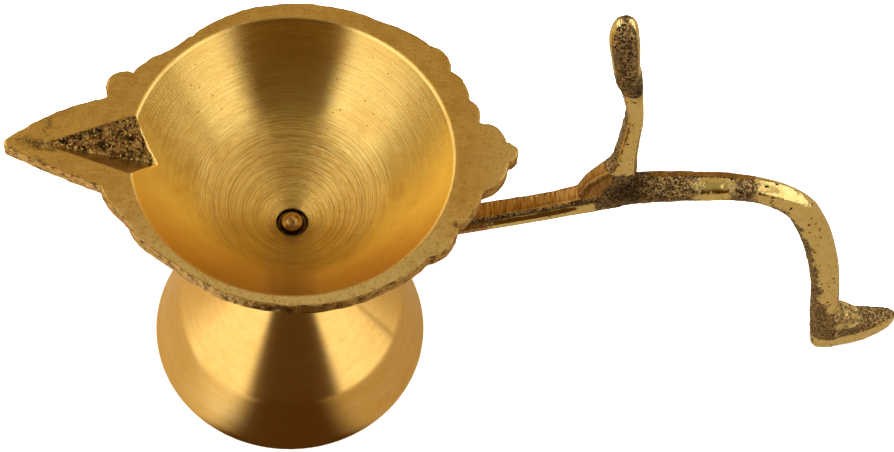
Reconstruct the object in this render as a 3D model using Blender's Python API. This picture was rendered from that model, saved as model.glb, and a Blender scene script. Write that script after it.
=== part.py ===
"""Hand-held brass wick lamp: a turned bowl with a leaf-shaped rim and a wick spout, on a
hollow bell foot, with a cast handle that bends down into a leg.

One stud clamps bowl, handle eye and foot together. Sizes are in millimetres; the mesh
helpers turn them into metres. +X runs along the handle, the spout points to -X, +Z is up,
and the lamp stands on z = 0. The origin is under the middle of the whole lamp.
"""

import math

import bmesh
import bpy
from mathutils import Vector

MM = 0.001
GAP = 0.3  # clearance between any two pieces that touch

# Bowl.
CUP_MOUTH_R = 30.0
CUP_DEPTH = 27.0  # from the rim to the edge of the stud's seat
CUP_FLOOR_SLOPE = math.radians(32.0)  # at the seat and at the rim, from the horizontal
CUP_WALL_SLOPE = math.radians(59.5)
CUP_ROUND = 78.0  # the arc between them
CUP_WALL = 2.4
RIM_THICK = 3.2
BOSS_R = 8.4
BOSS_DROP = 3.9  # from the edge of the stud's seat to the boss's underside
SEAT_RING = 0.6  # the seat round the stud's head, and its depth
SEAT_DEPTH = 0.9

# Wick spout. Lengths are from the stud's axis.
SPOUT_REACH = 53.2
SPOUT_TIP_R = 1.0
CHANNEL_REACH = 45.5
CHANNEL_HALF_WIDTH = 7.6  # where the channel's floor breaks through the cup wall
CHANNEL_DEPTH = 7.2  # there too
KEEL_WALL = 2.4

# Foot.
FOOT_R = 28.8
FOOT_EDGE = 1.5
CREASE_R = 23.7
CREASE_Z = 12.0
FOOT_CONE = math.radians(49.0)  # the cone above the crease, from the horizontal
NECK_R = 6.8
NECK_COLLAR_R = 8.6
NECK_COLLAR_TALL = 2.0
NECK_TALL = 6.4  # from the top of the cone to the foot's top face
FOOT_WALL = 2.3
FOOT_WEB = 10.0

# Stud, washer and nut.
SHANK_R = 1.6
HEAD_OVERHANG = 0.75
HEAD_TALL = 2.2
WASHER_RIM = 0.8  # beyond the nut's corners
WASHER_THICK = 0.9
NUT_FLATS = 6.0
NUT_THICK = 2.4
SHANK_STANDOUT = 1.0

# Handle.
EYE_R = 8.0
EYE_THICK = 4.0
HEEL_X = 114.3
SOLE_LENGTH = 19.1
SOLE_THICK = 6.0

# The arm: distance from the stud, height above the eye's middle, depth and width.
ARM = (
    (5.0, 0.0, 3.6, 9.0),
    (10.0, 0.3, 4.0, 7.6),
    (16.0, 2.2, 4.6, 5.6),
    (25.0, 5.6, 5.2, 4.8),
    (36.0, 10.0, 5.6, 4.6),
    (47.0, 14.3, 5.6, 4.4),
    (53.0, 17.0, 5.8, 4.4),
    (58.5, 19.8, 6.6, 4.8),
    (64.0, 22.6, 6.4, 5.5),
    (68.0, 23.6, 6.1, 5.8),
    (73.0, 24.2, 5.8, 5.8),
    (78.0, 24.5, 5.5, 5.6),
    (84.0, 24.5, 5.1, 5.2),
    (89.5, 23.4, 5.1, 4.9),
    (94.5, 21.0, 5.6, 4.8),
)
# The leg: distance ahead of the heel, share of the height of the arm's end, depth and width.
LEG = (
    (-15.3, 0.934, 6.1, 4.8),
    (-12.1, 0.845, 6.3, 4.8),
    (-9.5, 0.754, 6.3, 4.7),
    (-7.0, 0.646, 6.3, 4.7),
    (-4.7, 0.533, 6.2, 4.6),
    (-2.8, 0.418, 6.1, 4.6),
    (-1.1, 0.298, 6.2, 4.6),
    (0.8, 0.180, 6.9, 5.0),
    (3.0, 0.060, 7.6, 5.2),
)
# The thumb horn: offset from the fork along the arm, height above the fork, depth and width.
FORK_X = 58.5
HORN = (
    (-1.6, 0.6, 6.4, 3.8),
    (0.6, 4.4, 8.4, 4.2),
    (2.3, 8.4, 7.6, 4.4),
    (3.1, 11.4, 6.0, 4.6),
    (3.2, 14.2, 4.8, 4.8),
    (3.1, 18.0, 4.1, 4.9),
    (2.9, 24.8, 3.6, 4.9),
    (2.8, 28.2, 3.4, 4.9),
    (2.4, 31.6, 3.2, 4.9),
    (1.7, 34.8, 3.5, 4.9),
    (0.9, 38.0, 4.0, 5.0),
    (-0.1, 41.2, 4.8, 5.2),
    (-1.0, 44.3, 4.9, 5.4),
    (-1.6, 47.3, 5.0, 5.6),
    (-2.2, 50.3, 5.3, 5.8),
    (-2.8, 53.3, 5.3, 5.8),
    (-3.1, 56.3, 4.5, 4.8),
    (-3.4, 58.6, 2.4, 2.4),
)
# The sole seen from above: share of its length, and its two sides from the handle's plane.
SOLE = (
    (0.00, -1.4, 1.6),
    (0.06, -2.3, 2.6),
    (0.20, -2.3, 4.2),
    (0.45, -1.3, 5.2),
    (0.62, -0.3, 5.8),
    (0.78, 1.1, 6.3),
    (0.92, 2.7, 6.5),
    (1.00, 4.2, 5.8),
)
# The rim's corners: angle round the stud from +X, width of the rim there, and the bulge of
# the arc to the next corner (height over half its chord; None follows the cup's round).
RIM = (
    (162.3, 6.6, -0.75),
    (151.4, 4.7, None),
    (133.0, 2.2, None),
    (102.0, 3.4, None),
    (65.0, 4.1, None),
    (44.0, 5.7, -0.36),
    (32.5, 5.4, -0.30),
    (20.8, 5.5, -0.38),
    (12.3, 5.7, -0.43),
    (5.0, 10.1, -0.90),
    (-1.8, 10.3, -0.36),
    (-12.6, 6.1, -0.20),
    (-25.9, 4.2, -0.33),
    (-41.0, 3.3, None),
    (-67.0, 2.7, None),
    (-99.0, 2.2, None),
    (-127.5, 2.0, None),
    (-150.0, 3.6, None),
    (-166.0, 6.0, -0.02),
)

# Heights that follow from the stack of foot, handle eye and bowl.
CONE_RISE = (CREASE_R - NECK_R) * math.tan(FOOT_CONE)
FOOT_TOP_Z = CREASE_Z + CONE_RISE + NECK_TALL
EYE_Z = FOOT_TOP_Z + GAP + EYE_THICK / 2
BOSS_Z = EYE_Z + EYE_THICK / 2 + GAP
CUP_FLOOR_Z = BOSS_Z + BOSS_DROP
RIM_Z = CUP_FLOOR_Z + CUP_DEPTH
SEAT_Z = CUP_FLOOR_Z - SEAT_DEPTH
WEB_Z = FOOT_TOP_Z - FOOT_WEB
HOLE_R = SHANK_R + GAP
HEAD_R = SHANK_R + HEAD_OVERHANG
SEAT_R = HEAD_R + SEAT_RING
NUT_CORNER_R = NUT_FLATS / 2 / math.cos(math.pi / 6)
WASHER_R = NUT_CORNER_R + WASHER_RIM
WASHER_TOP_Z = WEB_Z - GAP
NUT_TOP_Z = WASHER_TOP_Z - WASHER_THICK - GAP
SHANK_END_Z = NUT_TOP_Z - NUT_THICK - SHANK_STANDOUT
TOE_X = HEEL_X + SOLE_LENGTH
AXIS_X = (SPOUT_REACH - TOE_X) / 2  # the stud's axis, from the origin
ROUND_STEPS = 72


def clear_scene():
    for obj in list(bpy.data.objects):
        bpy.data.objects.remove(obj, do_unlink=True)


def brass(name, colour, roughness):
    material = bpy.data.materials.new(name)
    material.use_nodes = True
    shader = material.node_tree.nodes["Principled BSDF"]
    shader.inputs["Base Color"].default_value = (*colour, 1.0)
    shader.inputs["Metallic"].default_value = 1.0
    shader.inputs["Roughness"].default_value = roughness
    return material


def add_mesh(name, vertices, faces, material=None):
    """An object at the stud's axis, from vertices in millimetres."""
    mesh = bpy.data.meshes.new(name)
    mesh.from_pydata([Vector(v) * MM for v in vertices], [], faces)
    work = bmesh.new()
    work.from_mesh(mesh)
    bmesh.ops.recalc_face_normals(work, faces=work.faces)
    work.to_mesh(mesh)
    work.free()
    mesh.shade_smooth()
    mesh.set_sharp_from_angle(angle=math.radians(35.0))
    obj = bpy.data.objects.new(name, mesh)
    obj.location.x = AXIS_X * MM
    bpy.context.scene.collection.objects.link(obj)
    if material:
        mesh.materials.append(material)
    return obj


def turned(name, profile, material=None):
    """A solid of revolution. The (radius, height) points go round the cut face, or from
    axis to axis where the piece has no hole."""
    vertices = []
    rings = []
    for radius, height in profile:
        first = len(vertices)
        if radius == 0.0:
            vertices.append((0.0, 0.0, height))
            rings.append([first] * ROUND_STEPS)
            continue
        for step in range(ROUND_STEPS):
            turn = 2 * math.pi * step / ROUND_STEPS
            vertices.append((radius * math.cos(turn), radius * math.sin(turn), height))
        rings.append(list(range(first, first + ROUND_STEPS)))
    closed = profile[0][0] > 0.0
    pairs = list(zip(rings, rings[1:] + rings[:1] if closed else rings[1:]))
    faces = []
    for low, high in pairs:
        for step in range(ROUND_STEPS):
            after = (step + 1) % ROUND_STEPS
            corners = [low[step], low[after], high[after], high[step]]
            faces.append(tuple(dict.fromkeys(corners)))
    return add_mesh(name, vertices, faces, material)


def sides_and_caps(rings):
    """Faces that join equal rings of vertex numbers, with both ends closed."""
    faces = [tuple(reversed(rings[0])), tuple(rings[-1])]
    count = len(rings[0])
    for low, high in zip(rings, rings[1:]):
        for step in range(count):
            after = (step + 1) % count
            faces.append((low[step], low[after], high[after], high[step]))
    return faces


def plate(name, outline, bottom, top, material=None):
    vertices = [(x, y, bottom) for x, y in outline] + [(x, y, top) for x, y in outline]
    count = len(outline)
    rings = [list(range(count)), list(range(count, 2 * count))]
    return add_mesh(name, vertices, sides_and_caps(rings), material)


def bar(name, stations, material=None):
    """A bar along (x, z, depth, width) stations in the handle's plane, with an eight-sided
    section: depth lies in that plane, square to the bar, and width across it."""
    corner = 0.30  # the share of each half that the chamfers leave off
    section = ((-1, 1 - corner), (-1 + corner, 1), (1 - corner, 1), (1, 1 - corner))
    section += tuple((-a, -b) for a, b in section)
    vertices = []
    rings = []
    for index, (x, z, depth, width) in enumerate(stations):
        before = stations[max(index - 1, 0)]
        after = stations[min(index + 1, len(stations) - 1)]
        along = Vector((after[0] - before[0], 0.0, after[1] - before[1])).normalized()
        across = Vector((-along.z, 0.0, along.x))
        first = len(vertices)
        for side, up in section:
            point = Vector((x, side * width / 2, z)) + across * (up * depth / 2)
            vertices.append(tuple(point))
        rings.append(list(range(first, first + len(section))))
    return add_mesh(name, vertices, sides_and_caps(rings), material)


def combine(target, tool, operation):
    tool.hide_render = True
    tool.display_type = "WIRE"
    modifier = target.modifiers.new(tool.name, "BOOLEAN")
    modifier.operation = operation
    modifier.object = tool


def arc(start, end, bulge, steps):
    """Points from start up to, but not including, end, along an arc; a negative bulge
    swells to the left of the way there."""
    chord = end - start
    if abs(bulge) < 0.005:
        return [start + chord * (step / steps) for step in range(steps)]
    sweep = 4 * math.atan(bulge)
    radius = chord.length / (2 * math.sin(sweep / 2))
    middle = (start + end) / 2
    centre = middle + Vector((-chord.y, chord.x)).normalized() * radius * math.cos(sweep / 2)
    points = []
    for step in range(steps):
        turn = sweep * step / steps
        spoke = start - centre
        turned_x = spoke.x * math.cos(turn) - spoke.y * math.sin(turn)
        turned_y = spoke.x * math.sin(turn) + spoke.y * math.cos(turn)
        points.append(centre + Vector((turned_x, turned_y)))
    return points


def round_point(angle, radius):
    turn = math.radians(angle)
    return Vector((radius * math.cos(turn), radius * math.sin(turn)))


def rim_outline():
    """The rim seen from above, clockwise from the notch beside the spout."""
    points = []
    for (angle, lip, bulge), (next_angle, next_lip, _) in zip(RIM, RIM[1:]):
        start = round_point(angle, CUP_MOUTH_R + lip)
        end = round_point(next_angle, CUP_MOUTH_R + next_lip)
        if bulge is None:
            steps = max(2, round((angle - next_angle) / 5))
            for step in range(steps):
                share = step / steps
                smooth = share * share * (3 - 2 * share)
                width = lip + (next_lip - lip) * smooth
                points.append(round_point(angle + (next_angle - angle) * share,
                                          CUP_MOUTH_R + width))
        else:
            points += arc(start, end, bulge, 6)
    low_side = round_point(RIM[-1][0], CUP_MOUTH_R + RIM[-1][1])
    high_side = round_point(RIM[0][0], CUP_MOUTH_R + RIM[0][1])
    tip_low = Vector((-SPOUT_REACH + 0.4 * SPOUT_TIP_R, -SPOUT_TIP_R))
    tip_high = Vector((-SPOUT_REACH + 0.4 * SPOUT_TIP_R, SPOUT_TIP_R))
    points += arc(low_side, tip_low, RIM[-1][2], 6)
    points += arc(tip_low, tip_high, -0.4, 4)
    points += arc(tip_high, high_side, -0.10, 8)
    return points


def cup_profile(outward=0.0):
    """The cup's inside from the stud's seat to the rim, or the same line moved outward by a
    wall: a floor cone and a steeper wall cone, joined by an arc."""
    floor_tan = math.tan(CUP_FLOOR_SLOPE)
    wall_tan = math.tan(CUP_WALL_SLOPE)
    floor_z = CUP_FLOOR_Z - outward / math.cos(CUP_FLOOR_SLOPE)
    rim_z = RIM_Z - outward / math.cos(CUP_WALL_SLOPE)
    floor_at_axis = floor_z - SEAT_R * floor_tan
    wall_at_axis = rim_z - CUP_MOUTH_R * wall_tan
    corner_r = (floor_at_axis - wall_at_axis) / (wall_tan - floor_tan)
    corner_z = floor_at_axis + corner_r * floor_tan
    tangent = (CUP_ROUND + outward) * math.tan((CUP_WALL_SLOPE - CUP_FLOOR_SLOPE) / 2)
    start_r = corner_r - tangent * math.cos(CUP_FLOOR_SLOPE)
    start_z = corner_z - tangent * math.sin(CUP_FLOOR_SLOPE)
    points = [(SEAT_R, floor_z)]
    for step in range(13):
        slope = CUP_FLOOR_SLOPE + (CUP_WALL_SLOPE - CUP_FLOOR_SLOPE) * step / 12
        across = math.sin(slope) - math.sin(CUP_FLOOR_SLOPE)
        rise = math.cos(CUP_FLOOR_SLOPE) - math.cos(slope)
        radius = CUP_ROUND + outward
        points.append((start_r + radius * across, start_z + radius * rise))
    points.append((CUP_MOUTH_R, rim_z))
    return points


def make_bowl(material):
    under_rim_z = RIM_Z - RIM_THICK
    wall_top_z = under_rim_z + RIM_THICK / 8
    outside = cup_profile(CUP_WALL)
    wall_r, wall_z = outside[-1]
    wall_top_r = wall_r + (wall_top_z - wall_z) / math.tan(CUP_WALL_SLOPE)
    boss_top_z = outside[0][1] + (BOSS_R - SEAT_R) * math.tan(CUP_FLOOR_SLOPE)
    outer_wall = [(r, z) for r, z in outside[1:-1] if r > BOSS_R]
    bowl = turned("bowl", [
        (0.0, BOSS_Z), (BOSS_R - 0.6, BOSS_Z), (BOSS_R, BOSS_Z + 0.6), (BOSS_R, boss_top_z)]
        + outer_wall + [(wall_top_r, wall_top_z), (0.0, wall_top_z)], material)
    combine(bowl, plate("rim_plate", rim_outline(), under_rim_z, RIM_Z), "UNION")
    combine(bowl, spout_wedge("spout_keel", KEEL_WALL, under_rim_z + RIM_THICK / 2), "UNION")
    above = 5.0
    top_r = CUP_MOUTH_R + above / math.tan(CUP_WALL_SLOPE)
    cup_tool = [(0.0, CUP_FLOOR_Z)] + cup_profile()
    cup_tool += [(top_r, RIM_Z + above), (0.0, RIM_Z + above)]
    combine(bowl, turned("cup_cutter", cup_tool), "DIFFERENCE")
    combine(bowl, spout_wedge("channel_cutter", 0.0, RIM_Z + above), "DIFFERENCE")
    combine(bowl, turned("bowl_hole", [
        (0.0, BOSS_Z - above), (HOLE_R, BOSS_Z - above), (HOLE_R, SEAT_Z), (SEAT_R, SEAT_Z),
        (SEAT_R, RIM_Z), (0.0, RIM_Z)]), "DIFFERENCE")
    return bowl


def spout_wedge(name, wall, top):
    """The channel's V, from the cup to its end near the tip, thickened by a wall; with no
    wall it is the cutter of the channel itself."""
    broken = CUP_MOUTH_R - CHANNEL_DEPTH / math.tan(CUP_WALL_SLOPE)
    cup_end = broken - 4.0
    vertices = []
    for reach in (cup_end, CHANNEL_REACH + wall):
        share = max((CHANNEL_REACH - reach) / (CHANNEL_REACH - broken), 0.01)
        half = CHANNEL_HALF_WIDTH * share + wall
        deep = CHANNEL_DEPTH * share + wall
        lift = (top - RIM_Z) * half / deep
        for y, z in ((-half - lift, top), (0.0, RIM_Z - deep), (half + lift, top)):
            vertices.append((-reach, y, z))
    return add_mesh(name, vertices, sides_and_caps([[0, 1, 2], [3, 4, 5]]))


def make_foot(material):
    """Hollow bell, open below; the web at the neck is solid and drilled for the stud."""
    cone_top_z = CREASE_Z + CONE_RISE
    skirt = math.atan2(CREASE_Z - FOOT_EDGE, FOOT_R - CREASE_R)
    inner_foot_r = FOOT_R - FOOT_WALL / math.sin(skirt)
    inner_crease_r = CREASE_R - FOOT_WALL
    inner_crease_z = CREASE_Z - 0.35 * FOOT_WALL
    inner_web_r = inner_crease_r - (WEB_Z - inner_crease_z) / math.tan(FOOT_CONE)
    return turned("foot", [
        (FOOT_R, 0.0), (FOOT_R, FOOT_EDGE), (CREASE_R, CREASE_Z),
        (NECK_R + 1.2, cone_top_z - 1.2 * math.tan(FOOT_CONE)), (NECK_R, cone_top_z + 0.6),
        (NECK_R, FOOT_TOP_Z - NECK_COLLAR_TALL - 0.8),
        (NECK_COLLAR_R, FOOT_TOP_Z - NECK_COLLAR_TALL),
        (NECK_COLLAR_R, FOOT_TOP_Z), (HOLE_R, FOOT_TOP_Z), (HOLE_R, WEB_Z),
        (inner_web_r, WEB_Z), (inner_crease_r, inner_crease_z), (inner_foot_r, 0.0)], material)


def make_stud(material):
    """Domed head in the cup's seat and a plain shank down through the nut."""
    head_z = SEAT_Z + GAP
    dome = []
    for step in range(7):
        turn = math.pi / 2 * step / 6
        dome.append((HEAD_R * math.cos(turn), head_z + HEAD_TALL * math.sin(turn)))
    dome[-1] = (0.0, head_z + HEAD_TALL)
    return turned("stud", [
        (0.0, SHANK_END_Z), (SHANK_R - 0.4, SHANK_END_Z), (SHANK_R, SHANK_END_Z + 0.4),
        (SHANK_R, head_z)] + dome, material)


def make_washer(material):
    bottom = WASHER_TOP_Z - WASHER_THICK
    return turned("washer", [
        (WASHER_R, bottom), (WASHER_R, WASHER_TOP_Z), (HOLE_R, WASHER_TOP_Z),
        (HOLE_R, bottom)], material)


def make_nut(material):
    outline = [tuple(round_point(60.0 * corner, NUT_CORNER_R)) for corner in range(6)]
    bottom = NUT_TOP_Z - NUT_THICK
    nut = plate("nut", outline, bottom, NUT_TOP_Z, material)
    combine(nut, turned("nut_hole", [
        (0.0, bottom - 1.0), (HOLE_R, bottom - 1.0), (HOLE_R, NUT_TOP_Z + 1.0),
        (0.0, NUT_TOP_Z + 1.0)]), "DIFFERENCE")
    return nut


def make_handle(material):
    arm_end_z = EYE_Z + ARM[-1][1]
    route = [(x, EYE_Z + rise, depth, width) for x, rise, depth, width in ARM]
    route += [(HEEL_X + x, arm_end_z * share, depth, width) for x, share, depth, width in LEG]
    handle = bar("handle", route, material)
    fork_z = next(z for x, z, _, _ in route if x >= FORK_X)
    horn = [(FORK_X + x, fork_z + rise, depth, width) for x, rise, depth, width in HORN]
    combine(handle, bar("horn", horn), "UNION")
    combine(handle, sole("sole"), "UNION")
    eye_low = EYE_Z - EYE_THICK / 2
    eye_high = EYE_Z + EYE_THICK / 2
    combine(handle, turned("eye", [
        (0.0, eye_low), (EYE_R, eye_low), (EYE_R, eye_high), (0.0, eye_high)]), "UNION")
    combine(handle, turned("eye_hole", [
        (0.0, eye_low - 2.0), (HOLE_R, eye_low - 2.0), (HOLE_R, eye_high + 2.0),
        (0.0, eye_high + 2.0)]), "DIFFERENCE")
    return handle


def sole(name):
    """The shoe-shaped end of the leg: flat below, thinner and rounder towards the toe."""
    vertices = []
    rings = []
    for share, near, far in SOLE:
        x = HEEL_X + SOLE_LENGTH * share
        tall = SOLE_THICK * (1.25 - 0.75 * share)
        shoulder = 0.25 * (far - near)
        first = len(vertices)
        vertices += [(x, near, 0.0), (x, far, 0.0), (x, far, 0.7 * tall),
                     (x, far - shoulder, tall), (x, near + shoulder, tall),
                     (x, near, 0.7 * tall)]
        rings.append(list(range(first, first + 6)))
    return add_mesh(name, vertices, sides_and_caps(rings))


clear_scene()
turned_brass = brass("turned_brass", (0.72, 0.50, 0.17), 0.24)
cast_brass = brass("cast_brass", (0.52, 0.38, 0.15), 0.42)
stud_brass = brass("stud_brass", (0.60, 0.44, 0.18), 0.30)
make_bowl(turned_brass)
make_foot(turned_brass)
make_handle(cast_brass)
make_stud(stud_brass)
make_washer(stud_brass)
make_nut(stud_brass)
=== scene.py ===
import math

import bpy
import numpy as np
from mathutils import Matrix, Vector


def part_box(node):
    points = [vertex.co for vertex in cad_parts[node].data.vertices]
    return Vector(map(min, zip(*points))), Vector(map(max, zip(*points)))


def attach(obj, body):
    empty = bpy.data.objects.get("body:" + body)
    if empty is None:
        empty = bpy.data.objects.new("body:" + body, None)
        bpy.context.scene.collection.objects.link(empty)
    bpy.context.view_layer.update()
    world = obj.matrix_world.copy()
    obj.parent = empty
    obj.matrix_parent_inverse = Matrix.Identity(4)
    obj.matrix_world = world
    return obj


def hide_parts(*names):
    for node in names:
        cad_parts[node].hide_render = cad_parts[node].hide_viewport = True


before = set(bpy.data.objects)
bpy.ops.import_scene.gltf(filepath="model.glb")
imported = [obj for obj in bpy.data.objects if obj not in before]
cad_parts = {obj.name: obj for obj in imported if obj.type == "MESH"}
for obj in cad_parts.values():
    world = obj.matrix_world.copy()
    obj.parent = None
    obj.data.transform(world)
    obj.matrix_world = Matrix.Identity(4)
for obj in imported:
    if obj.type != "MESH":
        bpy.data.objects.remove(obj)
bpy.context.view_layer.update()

# BOWL
# The oil bowl is one brass casting. Its cup is turned on a lathe, the rim is ground flat on a
# belt, and the rim's edge, the spout and its wick channel keep most of the cast skin. The stud
# clamps its boss down on the eye of the handle.
MM = 0.001
GAP = 0.3
stud_low, stud_high = (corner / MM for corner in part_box("stud"))
bowl_low, bowl_high = (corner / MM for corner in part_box("bowl"))
AXIS_X = (stud_low.x + stud_high.x) / 2
STUD_AXIS = np.array([AXIS_X, 0.0, 0.0])
RIM_Z = bowl_high.z
BOSS_Z = bowl_low.z
SPOUT_REACH = AXIS_X - bowl_low.x

CUP_MOUTH_R = 30.0
CUP_DEPTH = 27.0
CUP_FLOOR_SLOPE = math.radians(32.0)
CUP_WALL_SLOPE = math.radians(59.5)
CUP_ROUND = 78.0
CUP_WALL = 2.4
RIM_THICK = 3.2
BOSS_R = 8.4
HOLE_R = 1.9
SEAT_R = 2.95
SEAT_DEPTH = 0.9
SEAT_ROUND = 0.15
SEAT_CHAMFER = 0.12
SPOUT_TIP_R = 1.0
CHANNEL_REACH = 45.5
CHANNEL_HALF_WIDTH = 7.6
CHANNEL_DEPTH = 7.2
CHANNEL_SIDE = 0.5
KEEL_WALL = 2.4
RIM_CHAMFER = 0.16
EDGE_ROUND = 0.3
UNDER_ROUND = 0.5
OUTLINE_STEP = 0.34

# The rim's corners: angle round the stud, width of the rim there, and the bulge of the arc to
# the next corner; None follows the cup's round.
RIM = (
    (162.3, 6.6, -0.75), (151.4, 4.7, None), (133.0, 2.2, None), (102.0, 3.4, None),
    (65.0, 4.1, None), (44.0, 5.7, -0.36), (32.5, 5.4, -0.30), (20.8, 5.5, -0.38),
    (12.3, 5.7, -0.43), (5.0, 10.1, -0.90), (-1.8, 10.3, -0.36), (-12.6, 6.1, -0.20),
    (-25.9, 4.2, -0.33), (-41.0, 3.3, None), (-67.0, 2.7, None), (-99.0, 2.2, None),
    (-127.5, 2.0, None), (-150.0, 3.6, None), (-166.0, 6.0, -0.02),
)


def grain(points, size, seed):
    """Smooth random relief from -1 to 1, with lumps about size millimetres across."""
    scaled = points / size
    cell = np.floor(scaled).astype(np.int64)
    part = scaled - cell
    part = part * part * (3 - 2 * part)
    total = np.zeros(len(points))
    for corner in range(8):
        step = np.array([corner & 1, corner >> 1 & 1, corner >> 2 & 1])
        at = (cell + step).astype(np.uint64)
        mixed = at[:, 0] * np.uint64(374761393) + at[:, 1] * np.uint64(668265263)
        mixed = mixed + at[:, 2] * np.uint64(2246822519) + np.uint64(seed * 3266489917)
        mixed = (mixed ^ (mixed >> np.uint64(13))) * np.uint64(1274126177)
        mixed = (mixed ^ (mixed >> np.uint64(16))) & np.uint64(0xFFFFFF)
        share = np.where(step == 1, part, 1 - part).prod(axis=1)
        total += share * (mixed.astype(float) / 0xFFFFFF * 2 - 1)
    return total


def rough_skin(points, size, seed):
    """Cast-sand relief: coarse lumps with finer ones on them."""
    skin = grain(points, size, seed) + 0.6 * grain(points, size / 2.1, seed + 1)
    return (skin + 0.35 * grain(points, size / 4.3, seed + 2)) / 1.95


def smooth_step(value, low, high):
    share = np.clip((value - low) / (high - low), 0, 1)
    return share * share * (3 - 2 * share)


def add_piece(name, points, faces, smooth_angle=40.0):
    """A mesh object from points in millimetres from the stud's axis."""
    mesh = bpy.data.meshes.new(name)
    placed = (np.asarray(points) + STUD_AXIS) * MM
    mesh.from_pydata(placed.tolist(), [], faces)
    mesh.validate()
    mesh.shade_smooth()
    mesh.set_sharp_from_angle(angle=math.radians(smooth_angle))
    piece = bpy.data.objects.new(name, mesh)
    bpy.context.scene.collection.objects.link(piece)
    return piece


def points_of(piece):
    """The mesh's points in millimetres from the stud's axis, and their normals."""
    mesh = piece.data
    points = np.empty(len(mesh.vertices) * 3)
    normals = np.empty(len(mesh.vertices) * 3)
    mesh.vertices.foreach_get("co", points)
    mesh.vertex_normals.foreach_get("vector", normals)
    points = points.reshape(-1, 3) / MM - STUD_AXIS
    return points, normals.reshape(-1, 3)


def move_points(piece, points):
    placed = (points + STUD_AXIS) * MM
    piece.data.vertices.foreach_set("co", placed.ravel())
    piece.data.update()


def mark(piece, name, values):
    """Stores a mask from 0 to 1 on the mesh's points for its material."""
    attribute = piece.data.attributes.new(name, "FLOAT", "POINT")
    attribute.data.foreach_set("value", np.clip(values, 0, 1).astype(np.float32))


def loop_faces(rows, columns):
    """Quads of a grid whose rows and columns both close on themselves."""
    row = np.arange(rows)[:, None]
    column = np.arange(columns)[None, :]
    next_row = (row + 1) % rows
    next_column = (column + 1) % columns
    corners = [row * columns + column, row * columns + next_column,
               next_row * columns + next_column, next_row * columns + column]
    return np.stack([np.broadcast_to(c, (rows, columns)) for c in corners], -1).reshape(-1, 4)


def spot(angle, radius):
    turn = math.radians(angle)
    return np.array([radius * math.cos(turn), radius * math.sin(turn)])


def arc_points(start, end, bulge):
    """Points from start up to, but not at, end, along an arc of that bulge."""
    chord = end - start
    length = math.hypot(*chord)
    steps = max(2, round(length * (1 + bulge * bulge) / OUTLINE_STEP))
    shares = np.arange(steps)[:, None] / steps
    if abs(bulge) < 0.005:
        return start + chord * shares
    sweep = 4 * math.atan(bulge)
    radius = length / (2 * math.sin(sweep / 2))
    across = np.array([-chord[1], chord[0]]) / length
    centre = (start + end) / 2 + across * radius * math.cos(sweep / 2)
    spoke = start - centre
    turn = sweep * shares[:, 0]
    return centre + np.stack([spoke[0] * np.cos(turn) - spoke[1] * np.sin(turn),
                              spoke[0] * np.sin(turn) + spoke[1] * np.cos(turn)], 1)


def rim_outline():
    """The rim from above, clockwise from the notch beside the spout."""
    runs = []
    for (angle, lip, bulge), (next_angle, next_lip, _) in zip(RIM, RIM[1:]):
        start = spot(angle, CUP_MOUTH_R + lip)
        end = spot(next_angle, CUP_MOUTH_R + next_lip)
        if bulge is not None:
            runs.append(arc_points(start, end, bulge))
            continue
        steps = round(math.hypot(*(end - start)) / OUTLINE_STEP)
        share = np.arange(steps) / steps
        width = CUP_MOUTH_R + lip + (next_lip - lip) * smooth_step(share, 0, 1)
        turn = np.radians(angle + (next_angle - angle) * share)
        runs.append(np.stack([width * np.cos(turn), width * np.sin(turn)], 1))
    low_side = spot(RIM[-1][0], CUP_MOUTH_R + RIM[-1][1])
    high_side = spot(RIM[0][0], CUP_MOUTH_R + RIM[0][1])
    tip_x = -SPOUT_REACH + 0.4 * SPOUT_TIP_R
    tip_low = np.array([tip_x, -SPOUT_TIP_R])
    tip_high = np.array([tip_x, SPOUT_TIP_R])
    runs.append(arc_points(low_side, tip_low, RIM[-1][2]))
    runs.append(arc_points(tip_low, tip_high, -0.4))
    runs.append(arc_points(tip_high, high_side, -0.10))
    return np.concatenate(runs)


def cup_line(outward):
    """Radius and height along the cup's inside, or along its outside at that wall; the line
    runs on a little past the seat and past the rim."""
    floor_tan = math.tan(CUP_FLOOR_SLOPE)
    wall_tan = math.tan(CUP_WALL_SLOPE)
    floor_z = RIM_Z - CUP_DEPTH - outward / math.cos(CUP_FLOOR_SLOPE)
    rim_z = RIM_Z - outward / math.cos(CUP_WALL_SLOPE)
    floor_at_axis = floor_z - SEAT_R * floor_tan
    wall_at_axis = rim_z - CUP_MOUTH_R * wall_tan
    corner_r = (floor_at_axis - wall_at_axis) / (wall_tan - floor_tan)
    tangent = (CUP_ROUND + outward) * math.tan((CUP_WALL_SLOPE - CUP_FLOOR_SLOPE) / 2)
    start_r = corner_r - tangent * math.cos(CUP_FLOOR_SLOPE)
    start_z = floor_at_axis + start_r * floor_tan
    slope = np.linspace(CUP_FLOOR_SLOPE, CUP_WALL_SLOPE, 60)
    radius = CUP_ROUND + outward
    across = start_r + radius * (np.sin(slope) - math.sin(CUP_FLOOR_SLOPE))
    rise = start_z + radius * (math.cos(CUP_FLOOR_SLOPE) - np.cos(slope))
    past = 3
    return (np.concatenate([[SEAT_R - past], across, [CUP_MOUTH_R + past]]),
            np.concatenate([[floor_z - past * floor_tan], rise, [rim_z + past * wall_tan]]))


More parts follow.
